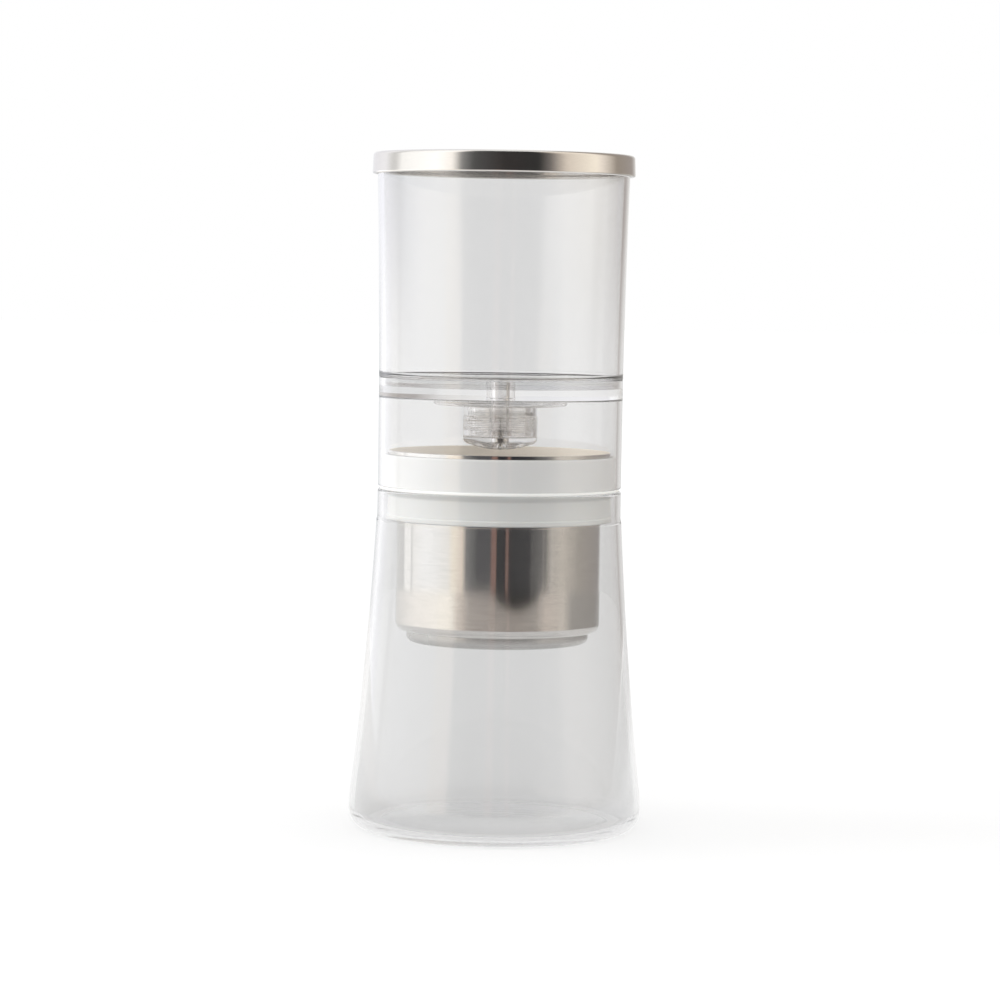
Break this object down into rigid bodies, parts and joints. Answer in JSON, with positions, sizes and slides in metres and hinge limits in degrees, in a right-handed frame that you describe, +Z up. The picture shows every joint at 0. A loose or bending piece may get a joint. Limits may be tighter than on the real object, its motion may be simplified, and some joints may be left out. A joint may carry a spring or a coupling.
{
  "type": "cold brew coffee maker",
  "caption": "Slow-drip coffee maker: clear water tank with a needle valve under its floor, steel coffee cup in a white collar, flared glass carafe and steel lid.",
  "frame": {"origin": "middle of the carafe's underside, on the plane that it stands on", "axes": "+Z up along the common axis of every piece; +X and +Y are level"},
  "size_m": [0.1251, 0.1252, 0.288],
  "materials": {
    "glass": "clear blown borosilicate glass, fire-polished rim",
    "clear_plastic": "clear moulded plastic",
    "white_plastic": "white moulded plastic, satin",
    "white_silicone": "white silicone, soft matt",
    "clear_silicone": "translucent silicone",
    "polished_steel": "drawn stainless steel, bright satin",
    "satin_steel": "pressed stainless steel, satin",
    "steel_mesh": "etched stainless mesh disc",
    "brushed_lid_steel": "stainless steel brushed round the rim"
  },
  "bodies": {
    "carafe": {"carafe": "glass"},
    "basket": {"neck_seal": "white_silicone", "collar": "white_plastic", "basket_cup": "polished_steel", "filter_ring": "satin_steel", "filter_mesh": "steel_mesh", "filter_gasket": "white_silicone"},
    "tray": {"spreader_tray": "satin_steel"},
    "tank": {"water_tank": "clear_plastic", "tank_skirt": "clear_plastic", "valve_body": "clear_plastic", "valve_gasket": "clear_silicone", "valve_seat": "clear_silicone", "knob_ring": "clear_silicone"},
    "knob": {"valve_knob": "clear_plastic", "valve_needle": "polished_steel"},
    "lid": {"lid_shell": "brushed_lid_steel"}
  },
  "joints": [
    {"name": "basket_lift", "type": "slide", "parent": "carafe", "child": "basket", "axis": [0, 0, 1], "range_m": [0, 0.075]},
    {"name": "tray_lift", "type": "slide", "parent": "basket", "child": "tray", "axis": [0, 0, 1], "range_m": [0, 0.008]},
    {"name": "tank_lift", "type": "slide", "parent": "basket", "child": "tank", "axis": [0, 0, 1], "range_m": [0, 0.04]},
    {"name": "knob_turn", "type": "hinge", "parent": "tank", "child": "knob", "pos_m": [0, 0, 0.17], "axis": [0, 0, -1], "range_deg": [0, 360]},
    {"name": "lid_lift", "type": "slide", "parent": "tank", "child": "lid", "axis": [0, 0, 1], "range_m": [0, 0.03]}
  ]
}
